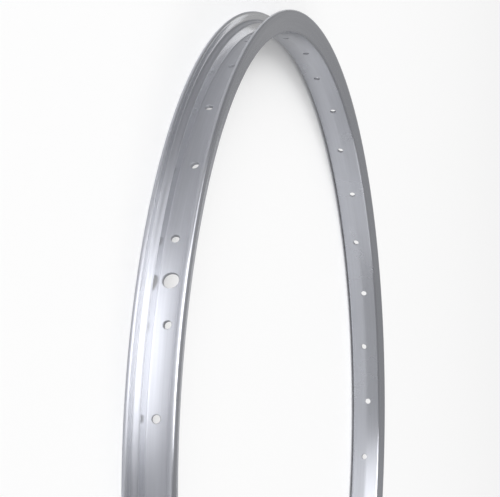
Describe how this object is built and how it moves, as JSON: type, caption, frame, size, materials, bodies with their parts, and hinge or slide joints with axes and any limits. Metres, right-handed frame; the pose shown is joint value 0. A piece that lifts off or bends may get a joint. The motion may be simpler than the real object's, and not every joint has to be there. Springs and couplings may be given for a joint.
{
  "type": "bicycle rim",
  "caption": "Single-wall aluminium bicycle rim with hooked tyre flanges, a stepped well, a ridged spoke bed, staggered spoke holes and a valve hole.",
  "frame": {"origin": "centre of the wheel, on the rim's middle plane", "axes": "+Z along the wheel's axis, up as the rim lies on its side; +X out through the valve hole"},
  "size_m": [0.5709, 0.571, 0.027],
  "materials": {
    "aluminium": "polished extruded aluminium, clear anodised"
  },
  "bodies": {
    "root": {"rim": "aluminium"}
  },
  "joints": []
}
